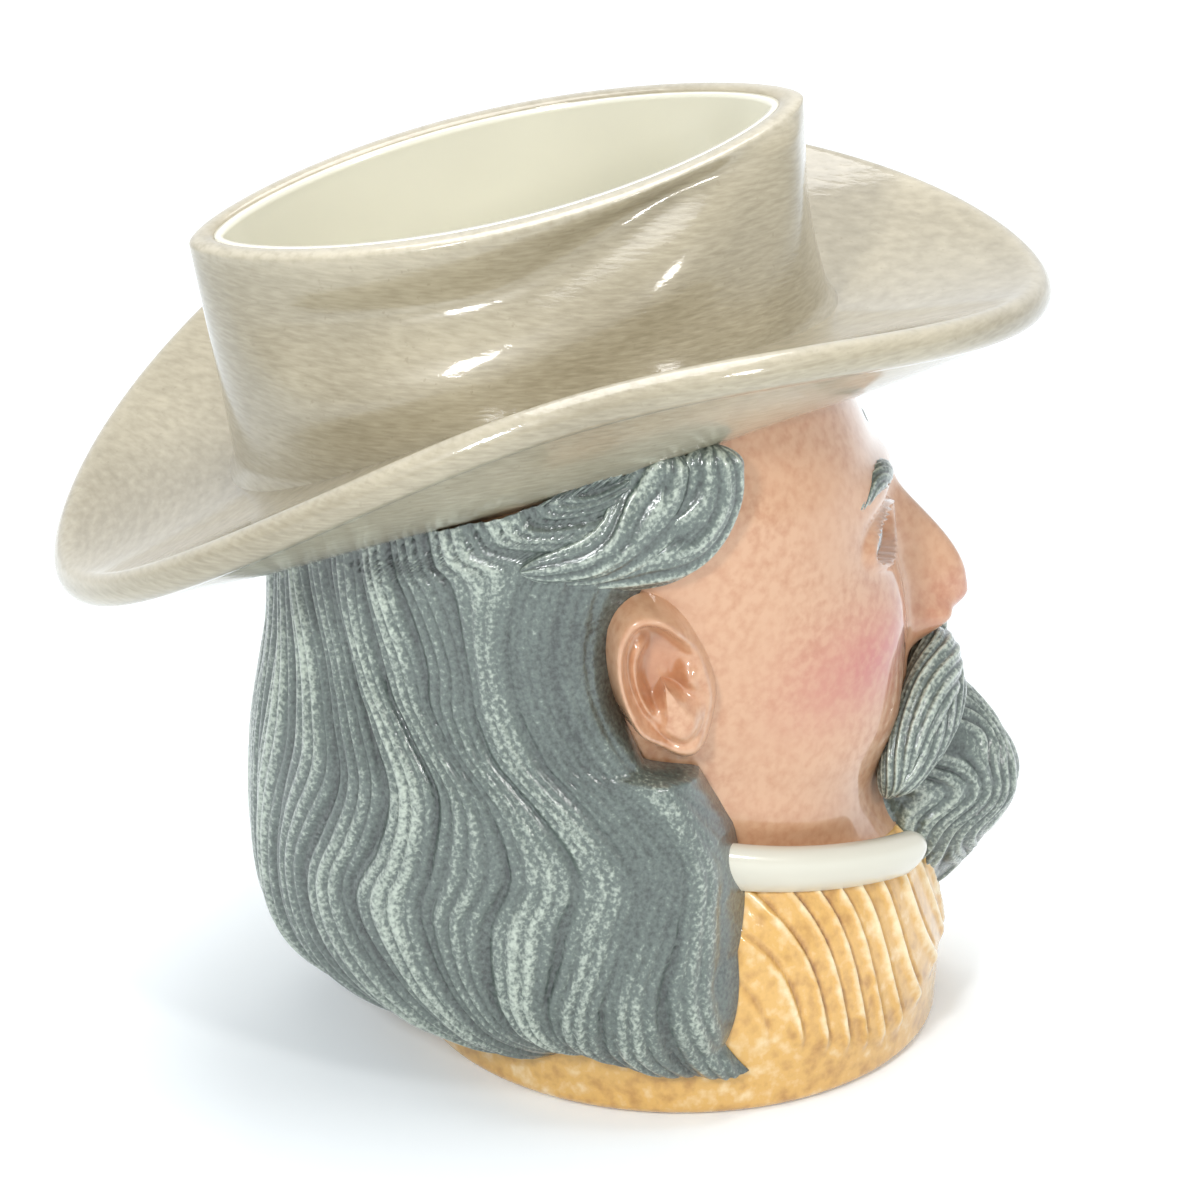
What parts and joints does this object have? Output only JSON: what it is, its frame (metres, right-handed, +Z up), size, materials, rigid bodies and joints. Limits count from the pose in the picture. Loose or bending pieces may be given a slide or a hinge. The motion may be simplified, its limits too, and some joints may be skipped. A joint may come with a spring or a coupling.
{
  "type": "character jug",
  "caption": "Hollow glazed character jug: a bearded head in a wide-brimmed hat whose open crown is the mouth, with a loop handle.",
  "frame": {"origin": "middle of the foot, on the surface the jug stands on", "axes": "+Z up, the face looks along -Y, the head's own left side and the handle at +X"},
  "size_m": [0.129, 0.1422, 0.1379],
  "materials": {
    "hat_glaze": "gloss",
    "skin_glaze": "gloss",
    "hair_glaze": "gloss",
    "jacket_glaze": "gloss",
    "collar_glaze": "gloss",
    "eye_glaze": "gloss",
    "inside_glaze": "gloss"
  },
  "bodies": {
    "root": {"foot_floor": "inside_glaze", "lining": "inside_glaze", "jacket": "jacket_glaze", "collar_right": "collar_glaze", "collar_left": "collar_glaze", "head": "skin_glaze", "ear_right": "skin_glaze", "ear_left": "skin_glaze", "eye_right": "eye_glaze", "eye_left": "eye_glaze", "eyebrow_right": "hair_glaze", "eyebrow_left": "hair_glaze", "moustache_right": "hair_glaze", "moustache_left": "hair_glaze", "goatee": "hair_glaze", "side_lock_right": "hair_glaze", "side_lock_left": "hair_glaze", "hair": "hair_glaze", "hat_brim": "hat_glaze", "hat_crown": "hat_glaze", "handle": "hat_glaze"}
  },
  "joints": []
}
